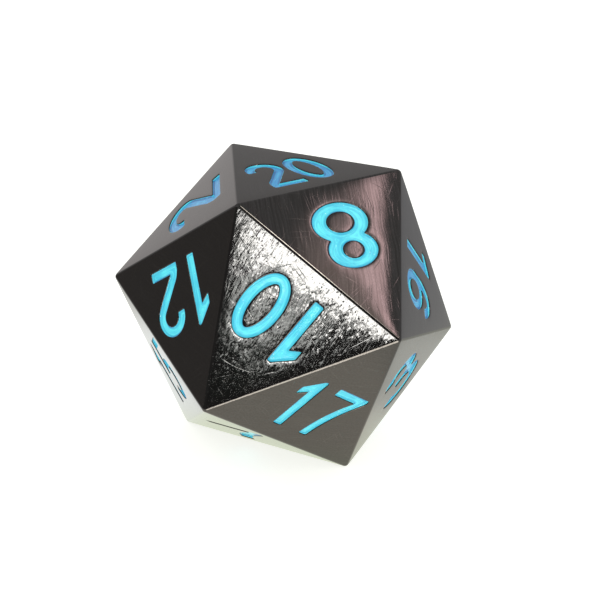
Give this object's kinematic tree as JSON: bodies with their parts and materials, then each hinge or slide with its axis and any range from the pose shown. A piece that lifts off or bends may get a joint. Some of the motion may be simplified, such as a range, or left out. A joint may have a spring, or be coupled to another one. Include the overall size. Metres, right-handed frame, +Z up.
{
  "type": "polyhedral die",
  "caption": "Polished dark-metal icosahedral die; every face has an engraved numeral filled with light blue enamel.",
  "frame": {"origin": "centre of the resting face, the one that reads 1, on z = 0", "axes": "+Z up, out of the opposite face that reads 20; +Y towards the top of the numeral 20; +X to the right of that numeral"},
  "size_m": [0.0214, 0.0244, 0.02],
  "materials": {
    "black_nickel": "mirror-polished black nickel plate over die-cast zinc alloy, with fine handling scratches",
    "blue_enamel": "glossy opaque light blue enamel, settled a little below the face"
  },
  "bodies": {
    "root": {"die_body": "black_nickel", "enamel_01": "blue_enamel", "enamel_02": "blue_enamel", "enamel_03": "blue_enamel", "enamel_04": "blue_enamel", "enamel_05": "blue_enamel", "enamel_06": "blue_enamel", "enamel_06_underline": "blue_enamel", "enamel_07": "blue_enamel", "enamel_08": "blue_enamel", "enamel_09": "blue_enamel", "enamel_09_underline": "blue_enamel", "enamel_10_tens": "blue_enamel", "enamel_10_ones": "blue_enamel", "enamel_11_tens": "blue_enamel", "enamel_11_ones": "blue_enamel", "enamel_12_tens": "blue_enamel", "enamel_12_ones": "blue_enamel", "enamel_13_tens": "blue_enamel", "enamel_13_ones": "blue_enamel", "enamel_14_tens": "blue_enamel", "enamel_14_ones": "blue_enamel", "enamel_15_tens": "blue_enamel", "enamel_15_ones": "blue_enamel", "enamel_16_tens": "blue_enamel", "enamel_16_ones": "blue_enamel", "enamel_17_tens": "blue_enamel", "enamel_17_ones": "blue_enamel", "enamel_18_tens": "blue_enamel", "enamel_18_ones": "blue_enamel", "enamel_19_tens": "blue_enamel", "enamel_19_ones": "blue_enamel", "enamel_20_tens": "blue_enamel", "enamel_20_ones": "blue_enamel"}
  },
  "joints": []
}
